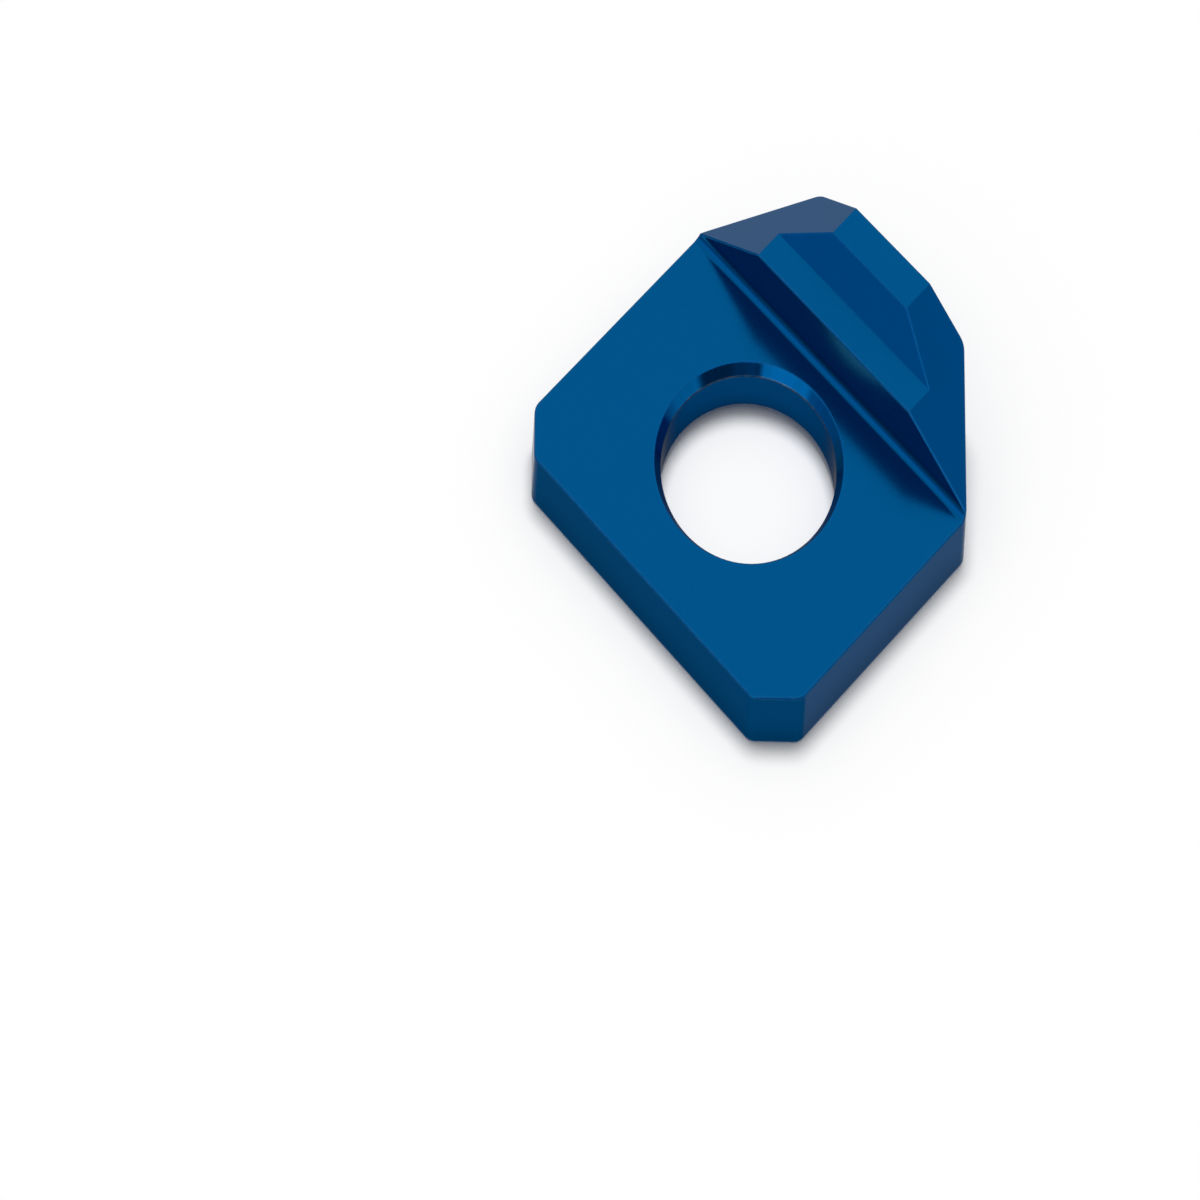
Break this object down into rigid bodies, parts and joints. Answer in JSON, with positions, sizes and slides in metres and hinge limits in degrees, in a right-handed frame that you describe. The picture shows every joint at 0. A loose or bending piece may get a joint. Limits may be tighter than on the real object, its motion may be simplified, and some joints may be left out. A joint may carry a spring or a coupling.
{
  "type": "motorcycle chain adjuster",
  "caption": "Axle block of a motorcycle chain adjuster: blue anodised plate with clipped corners, a chamfered axle bore and a raised, stepped head for the adjuster bolt to bear on.",
  "frame": {"origin": "axis of the axle bore where it meets the flat underside", "axes": "+Z along the bore axis from the underside towards the head's top, +Y from the bore towards the head, X across the plate"},
  "size_m": [0.0532, 0.0508, 0.0148],
  "materials": {
    "anodised": "satin, blue anodised"
  },
  "bodies": {
    "root": {"axle_block": "anodised"}
  },
  "joints": []
}
